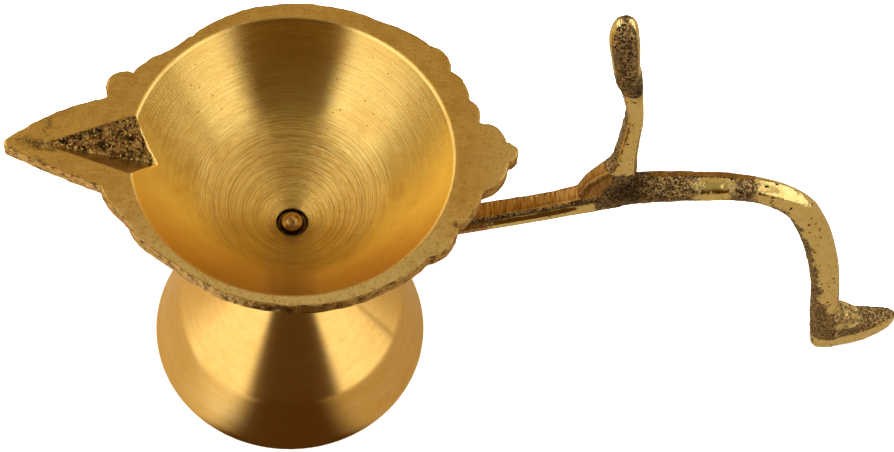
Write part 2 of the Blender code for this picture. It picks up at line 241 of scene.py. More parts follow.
def channel_height(points, wall):
    """Height of the wick channel's V, or of the keel that far below it."""
    broken = CUP_MOUTH_R - CHANNEL_DEPTH / math.tan(CUP_WALL_SLOPE)
    share = (CHANNEL_REACH + wall + points[..., 0]) / (CHANNEL_REACH - broken)
    half = np.maximum(CHANNEL_HALF_WIDTH * share + wall * 0.6, 0.02)
    depth = np.maximum(CHANNEL_DEPTH * share + wall * 0.6, 0.02)
    away = np.abs(points[..., 1] - CHANNEL_SIDE * np.clip(share, 0, 1))
    return RIM_Z - depth * (1 - np.sqrt((away / half) ** 2 + 0.004))


outline = rim_outline()
count = len(outline)
before = np.roll(outline, 2, 0)
after = np.roll(outline, -2, 0)
along = after - before
outward = np.stack([-along[:, 1], along[:, 0]], 1)
outward /= np.hypot(outward[:, 0], outward[:, 1])[:, None]
flat_points = np.concatenate([outline, np.zeros((count, 1))], 1)
filed = 0.14 * grain(flat_points, 3.1, 3) + 0.07 * grain(flat_points, 1.2, 5)
nicks = 0.22 * smooth_step(grain(flat_points, 1.8, 8), 0.5, 0.85)
outline = outline - outward * (np.clip(0.14 + filed, 0, 1) + nicks)[:, None]
away = np.hypot(outline[:, 0], outline[:, 1])
spokes = outline / away[:, None]

tries = np.linspace(16.0, SPOUT_REACH, 1400)
spoke_points = spokes[:, None, :] * tries[None, :, None]
cup_r, cup_z = cup_line(0.0)
cup_top = np.where(tries < CUP_MOUTH_R, np.interp(tries, cup_r, cup_z), RIM_Z)
channel_top = np.where(spoke_points[..., 0] < 0, channel_height(spoke_points, 0.0), RIM_Z + 9)
in_channel = channel_top < cup_top[None, :] - 0.002
has_channel = in_channel.any(1) & (spokes[:, 0] < 0)
first_in = tries[np.argmax(in_channel, 1)]
last_in = tries[len(tries) - 1 - np.argmax(in_channel[:, ::-1], 1)]
cup_end = np.where(has_channel, np.minimum(first_in, CUP_MOUTH_R), CUP_MOUTH_R)
cup_end = np.minimum(cup_end, CUP_MOUTH_R - RIM_CHAMFER / 2)
land_start = np.where(has_channel, np.maximum(last_in, CUP_MOUTH_R), CUP_MOUTH_R)
land_start = np.maximum(land_start, CUP_MOUTH_R + RIM_CHAMFER)
land_start = np.minimum(land_start, away - 0.6)

rows = []
zones = []


def add_row(flat, height, zone):
    rows.append(np.concatenate([flat, np.broadcast_to(height, (count,))[:, None]], 1))
    zones.append(zone)


CUP_ZONE, CHANNEL_ZONE, LAND_ZONE, EDGE_ZONE, OUTER_ZONE, BORE_ZONE = range(6)
cup_floor_z = RIM_Z - CUP_DEPTH
seat_z = cup_floor_z - SEAT_DEPTH
for radius, height in ((HOLE_R, BOSS_Z + 0.4), (HOLE_R, seat_z), (HOLE_R + 0.6, seat_z),
                       (SEAT_R - SEAT_ROUND, seat_z), (SEAT_R, seat_z + SEAT_ROUND),
                       (SEAT_R, cup_floor_z - SEAT_CHAMFER)):
    add_row(spokes * radius, height, BORE_ZONE)
for share in np.linspace(0, 1, 70):
    radius = (SEAT_R + SEAT_CHAMFER) + (cup_end - SEAT_R - SEAT_CHAMFER) * share
    add_row(spokes * radius[:, None], np.interp(radius, cup_r, cup_z), CUP_ZONE)
for share in np.linspace(0, 1, 26)[1:]:
    radius = cup_end + (land_start - cup_end) * share
    flat = spokes * radius[:, None]
    deep = np.minimum(channel_height(flat, 0.0), RIM_Z)
    chamfer = np.interp(cup_end, cup_r, cup_z) * (1 - share) + RIM_Z * share
    height = np.where(has_channel, np.where(share < 1, deep, RIM_Z), chamfer)
    add_row(flat, np.maximum(height, np.interp(cup_end, cup_r, cup_z) - 3), CHANNEL_ZONE)
land_flat = spokes * land_start[:, None]
top_edge = outline - outward * EDGE_ROUND
for share in np.linspace(0, 1, 16)[1:]:
    add_row(land_flat + (top_edge - land_flat) * share, RIM_Z, LAND_ZONE)
for turn in np.linspace(0, math.pi / 2, 4)[1:]:
    flat = top_edge + outward * (EDGE_ROUND * math.sin(turn))
    add_row(flat, RIM_Z - EDGE_ROUND * (1 - math.cos(turn)), EDGE_ZONE)
for drop in np.linspace(EDGE_ROUND, RIM_THICK - UNDER_ROUND, 9)[1:]:
    add_row(outline, RIM_Z - drop, EDGE_ZONE)
for turn in np.linspace(0, math.pi / 2, 4)[1:]:
    flat = outline - outward * (UNDER_ROUND * (1 - math.cos(turn)))
    add_row(flat, RIM_Z - RIM_THICK + UNDER_ROUND * (1 - math.sin(turn)), EDGE_ZONE)
under_edge = outline - outward * UNDER_ROUND
outer_r, outer_z = cup_line(CUP_WALL)
under_top = RIM_Z - RIM_THICK


def underside(flat):
    radius = np.hypot(flat[:, 0], flat[:, 1])
    wall = np.interp(radius, outer_r, outer_z)
    keel = np.where(flat[:, 0] < -12, channel_height(flat, KEEL_WALL), RIM_Z)
    fall = np.minimum(np.where(radius > CUP_MOUTH_R + 1.2, under_top, wall), under_top)
    return np.minimum(fall, keel)


wall_r = float(np.interp(under_top, outer_z, outer_r))
for share in np.linspace(0, 1, 22)[1:]:
    flat = under_edge + (spokes * wall_r - under_edge) * share
    add_row(flat, underside(flat), OUTER_ZONE)
boss_top_z = float(np.interp(BOSS_R, outer_r, outer_z))
for share in np.linspace(0, 1, 46)[1:]:
    radius = wall_r + (BOSS_R + 0.5 - wall_r) * share
    flat = spokes * radius
    add_row(flat, underside(flat), OUTER_ZONE)
for radius, height in ((BOSS_R + 0.1, boss_top_z - 0.1), (BOSS_R, boss_top_z - 0.5),
                       (BOSS_R, BOSS_Z + 0.5), (BOSS_R - 0.15, BOSS_Z + 0.12),
                       (BOSS_R - 0.5, BOSS_Z), (HOLE_R + 0.4, BOSS_Z)):
    add_row(spokes * radius, height, BORE_ZONE)

points = np.stack(rows)
zones = np.array(zones)
row_count = len(rows)
faces = loop_faces(row_count, count)
bowl = add_piece("turned_bowl", points.reshape(-1, 3), faces.tolist(), 50.0)
bowl_points, bowl_normals = points_of(bowl)
inside_cup = 40 * count
if (bowl_normals[inside_cup] @ np.array([-bowl_points[inside_cup][0], 0, 5.0])) < 0:
    bowl.data.flip_normals()
    bowl_points, bowl_normals = points_of(bowl)

point_zone = np.repeat(zones, count)
reach = -bowl_points[:, 0]
side = bowl_points[:, 1]
channel_mask = (point_zone == CHANNEL_ZONE) * np.tile(has_channel, row_count)
past_channel = smooth_step(5.5 - np.abs(reach - 46.0), 0, 3) * smooth_step(
    1.5 - np.abs(side - 0.2) + 0.9 * grain(bowl_points, 1.1, 24), 0.0, 1.0)
past_channel = 0.8 * past_channel * (point_zone == LAND_ZONE)
tip_worn = smooth_step(reach, 38, 50) * smooth_step(
    grain(bowl_points, 0.9, 26) + 0.5 * smooth_step(np.abs(side), 1.5, 5), 0.55, 0.8)
past_channel = np.maximum(past_channel, 0.8 * tip_worn * (point_zone == LAND_ZONE))
near_wall = channel_mask * smooth_step(-side + CHANNEL_SIDE * 0.6, 0.0, 0.8)
edge_mask = (point_zone == EDGE_ZONE).astype(float)
low_lobe = smooth_step(-np.abs(np.degrees(np.arctan2(side, -reach)) + 30), -20, -10)
near_edge = smooth_step(np.hypot(reach, side), CUP_MOUTH_R + 2.2, CUP_MOUTH_R + 3.4)
land_rough = (point_zone == LAND_ZONE) * low_lobe * near_edge * smooth_step(
    grain(bowl_points, 1.2, 21), 0.25, 0.6)
cast = np.clip(channel_mask + edge_mask + past_channel, 0, 1)
lift = rough_skin(bowl_points, 1.5, 31) * (0.30 * channel_mask + 0.15 * edge_mask
                                           + 0.2 * past_channel)
lift = lift * (1 - 0.65 * near_wall) - 0.06 * cast
lift = lift + rough_skin(bowl_points, 2.6, 35) * 0.12 * (point_zone == OUTER_ZONE) * (
    smooth_step(reach, 24, 34))
lift = lift - 0.18 * land_rough - 0.25 * past_channel
fixed = (point_zone == BORE_ZONE) | (point_zone == CUP_ZONE)
lift[fixed] = 0
move_points(bowl, bowl_points + bowl_normals * lift[:, None])
mark(bowl, "cast_skin", cast * (1 - 0.55 * near_wall) + 0.8 * land_rough)
mark(bowl, "rough_side", edge_mask)
mark(bowl, "dull_band", near_wall)


def add_node(tree, kind, inputs, output=0, **settings):
    """A shader node with its inputs linked or set; gives the output that is used."""
    node = tree.nodes.new("ShaderNode" + kind)
    for key, value in settings.items():
        setattr(node, key, value)
    for socket, value in inputs.items():
        if isinstance(value, bpy.types.NodeSocket):
            tree.links.new(value, node.inputs[socket])
        else:
            node.inputs[socket].default_value = value
    return node.outputs[output]


def split_vector(tree, vector):
    """The three numbers of a vector, each as a socket."""
    node = tree.nodes.new("ShaderNodeSeparateXYZ")
    tree.links.new(vector, node.inputs[0])
    return node.outputs


class Finish:
    """One material and the nodes that make up its look."""

    def __init__(self, name):
        self.material = bpy.data.materials.new(name)
        self.material.use_nodes = True
        self.tree = self.material.node_tree
        self.shader = self.tree.nodes["Principled BSDF"]
        self.shader.inputs["Metallic"].default_value = 1.0

    def put(self, kind, inputs, output=0, **settings):
        return add_node(self.tree, kind, inputs, output, **settings)

    def sums(self, operation, first, second=0.0):
        return self.put("Math", {0: first, 1: second}, operation=operation)

    def fade(self, value, low, high):
        inputs = {"Value": value, "From Min": low, "From Max": high}
        return self.put("MapRange", inputs, interpolation_type="SMOOTHSTEP")

    def mixed(self, factor, first, second):
        inputs = {0: factor, 6: first, 7: second}
        return self.put("Mix", inputs, output=2, data_type="RGBA")

    def blended(self, factor, first, second):
        return self.put("Mix", {0: factor, 2: first, 3: second}, data_type="FLOAT")

    def part(self, value, low, high, amount):
        """A fade that goes no further than that amount."""
        return self.sums("MULTIPLY", self.fade(value, low, high), amount)

    def scaled(self, value, times, plus):
        return self.put("Math", {0: value, 1: times, 2: plus}, operation="MULTIPLY_ADD")

    def split(self, vector):
        """The three numbers of a vector, each as a socket."""
        return split_vector(self.tree, vector)

    def noise(self, vector, size, detail=2.0, rough=0.5):
        inputs = {"Vector": vector, "Scale": 1 / size, "Detail": detail, "Roughness": rough}
        return self.put("TexNoise", inputs)

    def place(self):
        """Position in millimetres from the stud's axis."""
        here = self.put("TexCoord", {}, output=3)
        inputs = {0: here, 1: (1 / MM,) * 3, 2: (-AXIS_X, 0.0, 0.0)}
        return self.put("VectorMath", inputs, operation="MULTIPLY_ADD")

    def masked(self, name):
        return self.put("Attribute", {}, output=2, attribute_name=name)

    def shape(self, relief, depth):
        inputs = {"Height": relief, "Distance": depth * MM, "Strength": 1.0}
        self.tree.links.new(self.put("Bump", inputs), self.shader.inputs["Normal"])

    def join(self, socket, value):
        self.tree.links.new(value, self.shader.inputs[socket])


def colour(red, green, blue):
    return (red, green, blue, 1.0)


GOLD = colour(0.93, 0.66, 0.24)
DEEP_GOLD = colour(0.90, 0.59, 0.18)
RED_TARNISH = colour(0.86, 0.48, 0.13)
PALE_GOLD = colour(0.96, 0.75, 0.34)
CAST_BROWN = colour(0.42, 0.26, 0.10)
# Near-black: soot in pits and hollows, and painted shade in the handle's creases.
SOOT_AND_SHADE = colour(0.035, 0.022, 0.012)
OLIVE_BROWN = colour(0.50, 0.36, 0.15)


def turned_coordinates(finish, fall):
    """Lathe coordinates: along the profile, and round the axis without a seam."""
    place = finish.place()
    x, y, z = finish.split(place)
    level = finish.put("CombineXYZ", {0: x, 1: y})
    radius = finish.put("VectorMath", {0: level}, output=1, operation="LENGTH")
    spoke = finish.put("VectorMath", {0: level}, operation="NORMALIZE")
    finish.join("Tangent", spoke)
    run = finish.scaled(z, fall, radius)
    turned = finish.split(spoke)

    def rings(pitch, sweep):
        inputs = {0: finish.sums("DIVIDE", run, pitch),
                  1: finish.sums("MULTIPLY", turned[0], sweep),
                  2: finish.sums("MULTIPLY", turned[1], sweep)}
        return finish.put("CombineXYZ", inputs)

    return place, radius, rings


def turned_finish(name, fall, tones, ring_reach, ring_depth, ring_far, painted_front_shade):
    """Lathe-turned brass: rings where the tool ran slow, fine brushing, tarnish and pits, and
    painted shade that darkens the front by the share given last.
    """
    finish = Finish(name)
    place, radius, rings = turned_coordinates(finish, fall)
    coarse = finish.noise(rings(0.42, 0.30), 1.0, 4.0, 0.65)
    middle = finish.noise(rings(0.22, 0.8), 1.0, 2.0, 0.5)
    fine = finish.noise(rings(0.10, 7.0), 1.0, 2.0, 0.6)
    broad = finish.noise(rings(3.4, 0.8), 1.0, 2.0, 0.5)
    cloud = finish.noise(place, 9.0, 4.0, 0.6)
    near = finish.fade(radius, ring_reach + 4.0, ring_reach - 3.0)
    near = finish.sums("MULTIPLY", near, finish.fade(cloud, 0.10, 0.45))
    cut = finish.blended(near, ring_far, 1.0)
    relief = finish.sums("MULTIPLY", coarse, cut)
    cut_fine = finish.blended(near, 0.6 * ring_far, 0.40)
    relief = finish.sums("ADD", relief, finish.sums("MULTIPLY", middle, cut_fine))
    relief = finish.sums("ADD", relief, finish.sums("MULTIPLY", fine, 0.05))
    cells = finish.put("TexVoronoi", {"Vector": place, "Scale": 0.45, "Randomness": 1.0})
    pits = finish.fade(cells, 0.07, 0.03)
    relief = finish.sums("SUBTRACT", relief, finish.sums("MULTIPLY", pits, 1.0))
    finish.shape(relief, ring_depth)
    stain = finish.noise(rings(2.2, 5.0), 1.0, 5.0, 0.7)
    tone = finish.mixed(finish.fade(stain, 0.40, 0.70), tones[0], tones[1])
    tone = finish.mixed(finish.part(cloud, 0.50, 0.74, 0.50), tone, tones[2])
    tone = finish.mixed(finish.part(broad, 0.50, 0.75, 0.40), tone, tones[3])
    position = finish.split(place)
    # Painted shade: the front of the piece is darkened towards the third tone.
    nearer = finish.fade(finish.scaled(cloud, 16.0, position[1]), 2.0, -14.0)
    tone = finish.mixed(finish.sums("MULTIPLY", nearer, painted_front_shade), tone, tones[2])
    streak = finish.part(middle, 0.46, 0.64, near)
    tone = finish.mixed(finish.sums("MULTIPLY", streak, 0.45), tone, tones[2])
    tone = finish.mixed(finish.part(fine, 0.44, 0.66, 0.30), tone, tones[3])
    tone = finish.mixed(finish.part(fine, 0.48, 0.30, 0.30), tone, tones[2])
    groove = finish.part(coarse, 0.50, 0.36, near)
    tone = finish.mixed(finish.sums("MULTIPLY", groove, 0.55), tone, OLIVE_BROWN)
    tone = finish.mixed(finish.sums("MULTIPLY", pits, 0.5), tone, SOOT_AND_SHADE)
    finish.join("Base Color", tone)
    dull = finish.scaled(fine, 0.08, 0.14)
    dull = finish.scaled(stain, 0.08, dull)
    finish.join("Roughness", dull)
    finish.shader.inputs["Anisotropic"].default_value = 0.5
    return finish


CUP_TONES = (colour(0.95, 0.755, 0.29), colour(0.92, 0.68, 0.22), colour(0.78, 0.44, 0.10),
             colour(0.97, 0.83, 0.40))
# The cup takes the full painted shade on its front; the foot takes none.
cup_finish = turned_finish("turned_cup_brass", 1.0, CUP_TONES, 16.0, 0.15, 0.18, 1.0)


def skin_layers(finish, place, size):
    """Relief and dirt of as-cast brass: lumps, sand marks and filled pits."""
    lumps = finish.noise(place, size, 5.0, 0.65)
    sand = finish.noise(place, size / 3.2, 3.0, 0.6)
    cells = finish.put("TexVoronoi", {"Vector": place, "Scale": 1.1 / size})
    relief = finish.scaled(sand, 0.45, lumps)
    relief = finish.scaled(cells, 0.35, relief)
    return lumps, sand, relief


# The rim: belt-ground land with painted highlight, dark cast skin on its edge and in the channel.
LAND_GOLD = colour(0.86, 0.605, 0.205)
LAND_SHADE = colour(0.76, 0.51, 0.16)
LAND_PAINTED_HIGHLIGHT = colour(0.98, 0.84, 0.46)
LAND_BLOTCH = colour(0.62, 0.38, 0.12)
LAND_SPECK = colour(0.64, 0.40, 0.12)
EDGE_DARK = colour(0.22, 0.12, 0.04)
EDGE_GOLD = colour(0.72, 0.45, 0.13)
DULL_BAND = colour(0.34, 0.22, 0.09)
rim_finish = Finish("ground_and_cast_rim_brass")
rim_place = rim_finish.place()
skin = rim_finish.masked("cast_skin")
band = rim_finish.masked("dull_band")
lumps, sand, cast_relief = skin_layers(rim_finish, rim_place, 1.3)
ground_grain = rim_finish.noise(rim_place, 0.34, 2.0, 0.6)
scratch_place = rim_finish.put("Mapping", {"Vector": rim_place, "Rotation": (0, 0, 0.5),
                                           "Scale": (0.25, 3.0, 1.0)})
scratches = rim_finish.noise(scratch_place, 0.8, 3.0, 0.6)
ground_relief = rim_finish.scaled(scratches, 0.5, ground_grain)
relief = rim_finish.blended(skin, rim_finish.sums("MULTIPLY", ground_relief, 0.22), cast_relief)
rim_finish.shape(relief, 0.28)
stain = rim_finish.noise(rim_place, 4.0, 4.0, 0.6)
rim_parts = rim_finish.split(rim_place)
land_tone = rim_finish.mixed(rim_finish.fade(stain, 0.38, 0.66), LAND_GOLD, LAND_SHADE)
# Painted highlight: the land is painted lighter towards the front and towards the leaf side.
front_highlight = rim_finish.scaled(stain, 14.0, rim_parts[1])
front_highlight = rim_finish.fade(front_highlight, 2.0, -22.0)
leaf_highlight = rim_finish.scaled(stain, 10.0, rim_parts[0])
leaf_highlight = rim_finish.part(leaf_highlight, 36.0, 46.0, 0.6)
land_tone = rim_finish.mixed(rim_finish.sums("MAXIMUM", front_highlight, leaf_highlight), land_tone, LAND_PAINTED_HIGHLIGHT)
blotch = rim_finish.noise(rim_place, 1.6, 4.0, 0.7)
land_tone = rim_finish.mixed(rim_finish.part(blotch, 0.50, 0.72, 0.5), land_tone, LAND_BLOTCH)
speck = rim_finish.noise(rim_place, 0.5, 2.0, 0.7)
land_tone = rim_finish.mixed(rim_finish.fade(speck, 0.52, 0.72), land_tone, LAND_SPECK)
land_tone = rim_finish.mixed(rim_finish.part(scratches, 0.54, 0.70, 0.6), land_tone, PALE_GOLD)
skin_tone = rim_finish.mixed(rim_finish.fade(lumps, 0.42, 0.60), SOOT_AND_SHADE, CAST_BROWN)
skin_tone = rim_finish.mixed(rim_finish.fade(sand, 0.55, 0.64), skin_tone, GOLD)
side_tone = rim_finish.mixed(rim_finish.fade(lumps, 0.36, 0.56), EDGE_DARK, EDGE_GOLD)
side_tone = rim_finish.mixed(rim_finish.fade(sand, 0.56, 0.66), side_tone, PALE_GOLD)
skin_tone = rim_finish.mixed(rim_finish.masked("rough_side"), skin_tone, side_tone)
skin_tone = rim_finish.mixed(rim_finish.sums("MULTIPLY", band, 0.75), skin_tone, DULL_BAND)
rim_finish.join("Base Color", rim_finish.mixed(skin, land_tone, skin_tone))
rim_finish.join("Roughness", rim_finish.blended(skin, 0.31, 0.36))

# Dark, dull brass in the stud's seat and on the boss: painted shade in the recess round the stud's
# head.
SEAT_SHADE_DARK = colour(0.07, 0.035, 0.012)
SEAT_SHADE_BROWN = colour(0.34, 0.19, 0.06)
seat_finish = Finish("seat_brass_painted_shade")
seat_place = seat_finish.place()
seat_mottle = seat_finish.noise(seat_place, 1.4, 4.0, 0.6)
seat_finish.shape(seat_mottle, 0.08)
seat_finish.join("Base Color", seat_finish.mixed(seat_finish.fade(seat_mottle, 0.35, 0.65),
                                                 SEAT_SHADE_DARK,
                                                 SEAT_SHADE_BROWN))
seat_finish.join("Roughness", seat_finish.blended(seat_mottle, 0.30, 0.60))

for finish in (cup_finish, rim_finish, seat_finish):
    bowl.data.materials.append(finish.material)
row_finish = np.where(np.isin(zones, (CHANNEL_ZONE, LAND_ZONE, EDGE_ZONE)), 1, 0)
face_finish = np.minimum(row_finish, np.roll(row_finish, -1))
face_finish = np.where(zones == CHANNEL_ZONE, 1, face_finish)
face_finish = np.where(zones == BORE_ZONE, 2, face_finish)
bowl.data.polygons.foreach_set(
    "material_index", np.repeat(face_finish, count).astype(np.int32)[:len(bowl.data.polygons)])
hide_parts("bowl")
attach(bowl, "root")

# FOOT
# A hollow bell turned from cast brass, with a soft crease above its skirt and a collar at the
# neck. Its web is drilled for the stud, and the handle's eye sits on its top face.
foot_low, foot_high = (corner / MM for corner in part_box("foot"))
FOOT_TOP_Z = foot_high.z
FOOT_R = (foot_high.x - foot_low.x) / 2
FOOT_EDGE = 1.5
CREASE_R = 23.7
CREASE_Z = 12.0
FOOT_CONE = math.radians(49.0)
NECK_R = 6.8
NECK_COLLAR_R = 8.6
NECK_COLLAR_TALL = 2.0
FOOT_WALL = 2.3
FOOT_WEB = 10.0
TURN_STEPS = 288


def softened(corners, steps=6):
    """A closed (radius, height, rounding) outline with each corner eased by that much."""
    line = []
    for index, (r, z, ease) in enumerate(corners):
        here = np.array([r, z])
        if ease == 0:
            line.append(here)
            continue
        last = np.array(corners[index - 1][:2])
        following = np.array(corners[(index + 1) % len(corners)][:2])
        start = here + (last - here) * min(0.48, ease / math.hypot(*(last - here)))
        end = here + (following - here) * min(0.48, ease / math.hypot(*(following - here)))
        for step in range(steps + 1):
            share = step / steps
            line.append((1 - share) ** 2 * start + 2 * share * (1 - share) * here
                        + share ** 2 * end)
    return np.array(line)


def turned_points(line, steps):
    """Points of a closed (radius, height) line turned round the stud's axis."""
    turn = np.arange(steps) / steps * 2 * math.pi
    points = np.stack([line[:, :1] * np.cos(turn), line[:, :1] * np.sin(turn),
                       np.repeat(line[:, 1:], steps, 1)], -1)
    return points.reshape(-1, 3)


def turned_piece(name, line, steps=TURN_STEPS, smooth_angle=45.0):
    """A ring-shaped solid from a closed (radius, height) line."""
    faces = loop_faces(len(line), steps)
    return add_piece(name, turned_points(line, steps), faces.tolist(), smooth_angle)


def long_runs_split(line, longest):
    """The same closed line with more points on its long runs."""
    out = []
    for start, end in zip(line, np.roll(line, -1, 0)):
        parts = max(1, math.ceil(math.hypot(*(end - start)) / longest))
        out += [start + (end - start) * part / parts for part in range(parts)]
    return np.array(out)


web_z = FOOT_TOP_Z - FOOT_WEB
cone_rise = (CREASE_R - NECK_R) * math.tan(FOOT_CONE)
cone_top_z = CREASE_Z + cone_rise
skirt = math.atan2(CREASE_Z - FOOT_EDGE, FOOT_R - CREASE_R)
inner_foot_r = FOOT_R - FOOT_WALL / math.sin(skirt)
inner_crease_r = CREASE_R - FOOT_WALL
inner_crease_z = CREASE_Z - 0.35 * FOOT_WALL
inner_web_r = inner_crease_r - (web_z - inner_crease_z) / math.tan(FOOT_CONE)
foot_line = softened([
    (inner_foot_r, 0.0, 0.3), (FOOT_R, 0.0, 0.5), (FOOT_R, FOOT_EDGE, 0.7),
    (CREASE_R, CREASE_Z, 1.1), (NECK_R, cone_top_z, 1.8),
    (NECK_R, FOOT_TOP_Z - NECK_COLLAR_TALL - 0.8, 0.4),
    (NECK_COLLAR_R, FOOT_TOP_Z - NECK_COLLAR_TALL, 0.4), (NECK_COLLAR_R, FOOT_TOP_Z, 0.35),
    (HOLE_R, FOOT_TOP_Z, 0.2), (HOLE_R, web_z, 0.2), (inner_web_r, web_z, 1.0),
    (inner_crease_r, inner_crease_z, 2.0)])
foot_line = long_runs_split(foot_line, 0.8)
foot = turned_piece("bell_foot", foot_line)
FOOT_TONES = (GOLD, DEEP_GOLD, RED_TARNISH, PALE_GOLD)
foot_finish = turned_finish("turned_foot_brass", -1.0, FOOT_TONES, 2.0, 0.012, 0.5, 0.0)
foot.data.materials.append(foot_finish.material)
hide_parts("foot")
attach(foot, "root")

# HANDLE
# One sand casting in the shape of a leg: an eye clamped between bowl and foot, a rising arm, a
# thumb horn at the fork, and a leg that ends in a shoe. Its flats were filed by hand; the rest
# keeps a dark cast skin, with a parting line along the sides of the front arm.
_, handle_high = (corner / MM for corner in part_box("handle"))
EYE_R = 8.0
EYE_THICK = 4.0
EYE_Z = FOOT_TOP_Z + GAP + EYE_THICK / 2
HEEL_X = 114.3
SOLE_LENGTH = handle_high.x - AXIS_X - HEEL_X
SOLE_THICK = 6.0
FORK_X = 58.5
FORK_RISE = 19.8
CAST_VOXEL = 0.26
BAR_STEPS = 40
EYE_STEPS = 96
SOLE_RING = 25
SOLE_SQUARENESS = 4.2

# The arm: distance from the stud, height above the eye's middle, depth and width.
ARM = (
    (5.0, 0.0, 3.6, 9.0), (10.0, 0.3, 4.0, 7.6), (16.0, 2.2, 4.6, 5.6), (25.0, 5.6, 5.2, 4.8),
    (36.0, 10.0, 5.6, 4.6), (47.0, 14.3, 5.6, 4.4), (53.0, 17.0, 5.8, 4.4),
    (58.5, 19.8, 6.6, 4.8), (64.0, 22.6, 6.4, 5.5), (68.0, 23.6, 6.1, 5.8),
    (73.0, 24.2, 5.8, 5.8), (78.0, 24.5, 5.5, 5.6), (84.0, 24.5, 5.1, 5.2),
    (89.5, 23.4, 5.1, 4.9), (94.5, 21.0, 5.6, 4.8),
)
# The leg: distance ahead of the heel, share of the height of the arm's end, depth and width.
LEG = (
    (-15.3, 0.934, 6.1, 4.8), (-12.1, 0.845, 6.3, 4.8), (-9.5, 0.754, 6.3, 4.7),
    (-7.0, 0.646, 6.3, 4.7), (-4.7, 0.533, 6.2, 4.6), (-2.8, 0.418, 6.1, 4.6),
    (-1.1, 0.298, 6.2, 4.6), (0.8, 0.180, 6.9, 5.0), (3.0, 0.060, 7.6, 5.2),
)
# The thumb horn: offset from the fork along the arm, height above the fork, depth and width.
HORN = (
    (-1.6, 0.6, 6.4, 3.8), (0.6, 4.4, 8.4, 4.2), (2.3, 8.4, 7.6, 4.4), (3.1, 11.4, 6.0, 4.6),
    (3.2, 14.2, 4.8, 4.8), (3.1, 18.0, 4.1, 4.9), (2.9, 24.8, 3.6, 4.9),
    (2.8, 28.2, 3.4, 4.9), (2.4, 31.6, 3.2, 4.9), (1.7, 34.8, 3.5, 4.9),
    (0.9, 38.0, 4.0, 5.0), (-0.1, 41.2, 4.8, 5.2), (-1.0, 44.3, 4.9, 5.4),
    (-1.6, 47.3, 5.0, 5.6), (-2.2, 50.3, 5.3, 5.8), (-2.8, 53.3, 5.3, 5.8),
    (-3.1, 56.3, 4.5, 4.8), (-3.3, 57.8, 3.2, 3.3), (-3.4, 58.6, 1.2, 1.2),
)
# The sole from above: share of its length, and its two sides from the handle's plane.
SOLE = (
    (0.00, -1.4, 1.6), (0.06, -2.3, 2.6), (0.20, -2.3, 4.2), (0.45, -1.3, 5.2),
    (0.62, -0.3, 5.8), (0.78, 1.1, 6.3), (0.92, 2.7, 6.5), (1.00, 4.2, 5.8),
)
# The sole from the side: share of its length, and share of its thickness there.
SOLE_TALL = (
    (0.0, 1.2), (0.1, 2.2), (0.2, 2.20), (0.32, 1.85), (0.45, 1.4), (0.7, 0.98), (0.9, 0.74),
    (1.0, 0.50),
)


def eased_stations(stations, spacing):
    """The stations joined by a smooth curve through all of them."""
    table = np.array(stations)
    ends = np.concatenate([2 * table[:1] - table[1:2], table, 2 * table[-1:] - table[-2:-1]])
    out = []
    for index in range(1, len(ends) - 2):
        a, b, c, d = ends[index - 1:index + 3]
        steps = max(1, round(math.hypot(*(c[:2] - b[:2])) / spacing))
        for step in range(steps):
            t = step / steps
            out.append(0.5 * (2 * b + (c - a) * t + (2 * a - 5 * b + 4 * c - d) * t * t
                              + (3 * b - a - 3 * c + d) * t ** 3))
    out.append(table[-1])
    return np.array(out)


def bar_frame(route):
    """Unit vectors along the bar and square to it in the handle's plane."""
    along = np.gradient(route[:, :2], axis=0)
    along /= np.hypot(along[:, 0], along[:, 1])[:, None]
    return along, np.stack([-along[:, 1], along[:, 0]], 1)


def squared_ring(steps, fullness):
    turn = np.arange(steps) / steps * 2 * math.pi
    side = np.sign(np.cos(turn)) * np.abs(np.cos(turn)) ** (2 / fullness)
    up = np.sign(np.sin(turn)) * np.abs(np.sin(turn)) ** (2 / fullness)
    return side, up


def tube_faces(rows, columns):
    """A tube's side quads and its two end caps, as lists."""
    quads = loop_faces(rows, columns)[:(rows - 1) * columns].tolist()
    first = list(range(columns))[::-1]
    last = list(range((rows - 1) * columns, rows * columns))
    return quads + [first, last]


def cast_bar(route, parting):
    """Points of a bar that is squarer or rounder along its way, with a parting ridge."""
    side, up = squared_ring(BAR_STEPS, route[:, 5:6])
    _, across = bar_frame(route)
    ridge = parting * (0.34 * np.exp(-((up + 0.02) / 0.17) ** 2)
                       - 0.30 * np.exp(-((up - 0.42) / 0.16) ** 2))
    reach = side * route[:, 3:4] / 2
    reach = reach + np.sign(side) * ridge * (np.abs(side) > 0.5) * route[:, 4:5]
    rise = up * route[:, 2:3] / 2
    points = np.stack([route[:, :1] + across[:, :1] * rise, reach,
                       route[:, 1:2] + across[:, 1:] * rise], -1)
    return points.reshape(-1, 3), tube_faces(len(route), side.shape[1])


arm_end_z = EYE_Z + ARM[-1][1]
arm_stations = [(x, EYE_Z + rise, depth, width) for x, rise, depth, width in ARM]
arm_stations += [(HEEL_X + x, arm_end_z * share, depth, width) for x, share, depth, width in LEG]
fork_z = EYE_Z + FORK_RISE
horn_stations = [(FORK_X + x, fork_z + rise, depth, width) for x, rise, depth, width in HORN]
arm_route = eased_stations(arm_stations, 0.4)
horn_route = eased_stations(horn_stations, 0.4)
seam = smooth_step(arm_route[:, 0], 12, 20) * (1 - smooth_step(arm_route[:, 0], 52, 58))
squareness = 3.6 - 1.25 * smooth_step(arm_route[:, 0], 54, 72)
arm_solid = cast_bar(np.column_stack([arm_route, seam, squareness]), 1.0)
horn_seam = np.zeros(len(horn_route))
horn_squareness = 2.9 - 0.7 * smooth_step(horn_route[:, 1], fork_z + 34, fork_z + 42)
horn_solid = cast_bar(np.column_stack([horn_route, horn_seam, horn_squareness]), 0.0)

